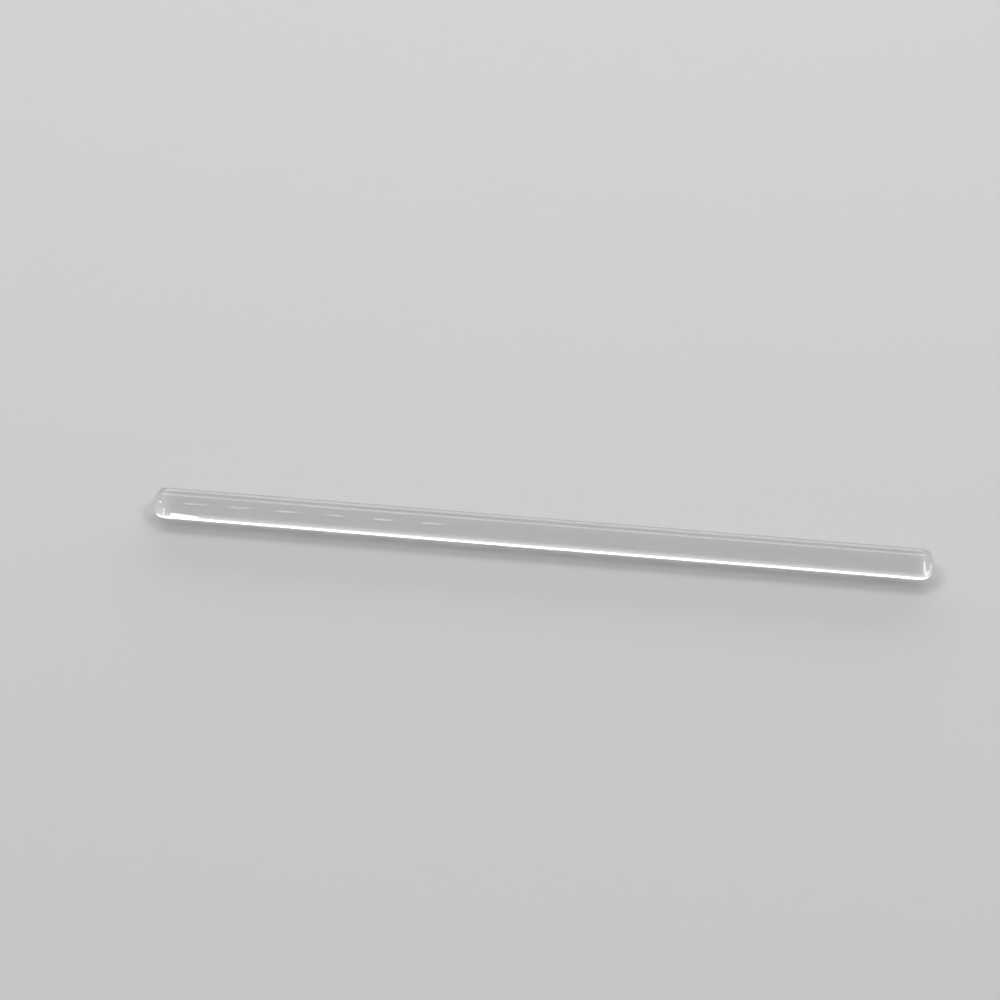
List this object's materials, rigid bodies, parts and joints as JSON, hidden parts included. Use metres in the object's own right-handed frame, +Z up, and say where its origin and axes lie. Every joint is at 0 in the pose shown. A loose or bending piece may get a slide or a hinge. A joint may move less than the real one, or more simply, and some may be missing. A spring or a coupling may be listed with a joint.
{
  "type": "glass stirring rod",
  "caption": "Straight solid rod of clear drawn glass with fire-polished, rounded ends, for stirring and guiding liquids.",
  "frame": {"origin": "middle of the rod's axis, which is the centre of its box", "axes": "+X along the rod's axis towards the flatter end, +Z up as the rod lies on a bench"},
  "size_m": [0.15, 0.006, 0.006],
  "materials": {
    "clear_glass": "clear, drawn and fire-polished"
  },
  "bodies": {
    "root": {"stirring_rod": "clear_glass"}
  },
  "joints": []
}
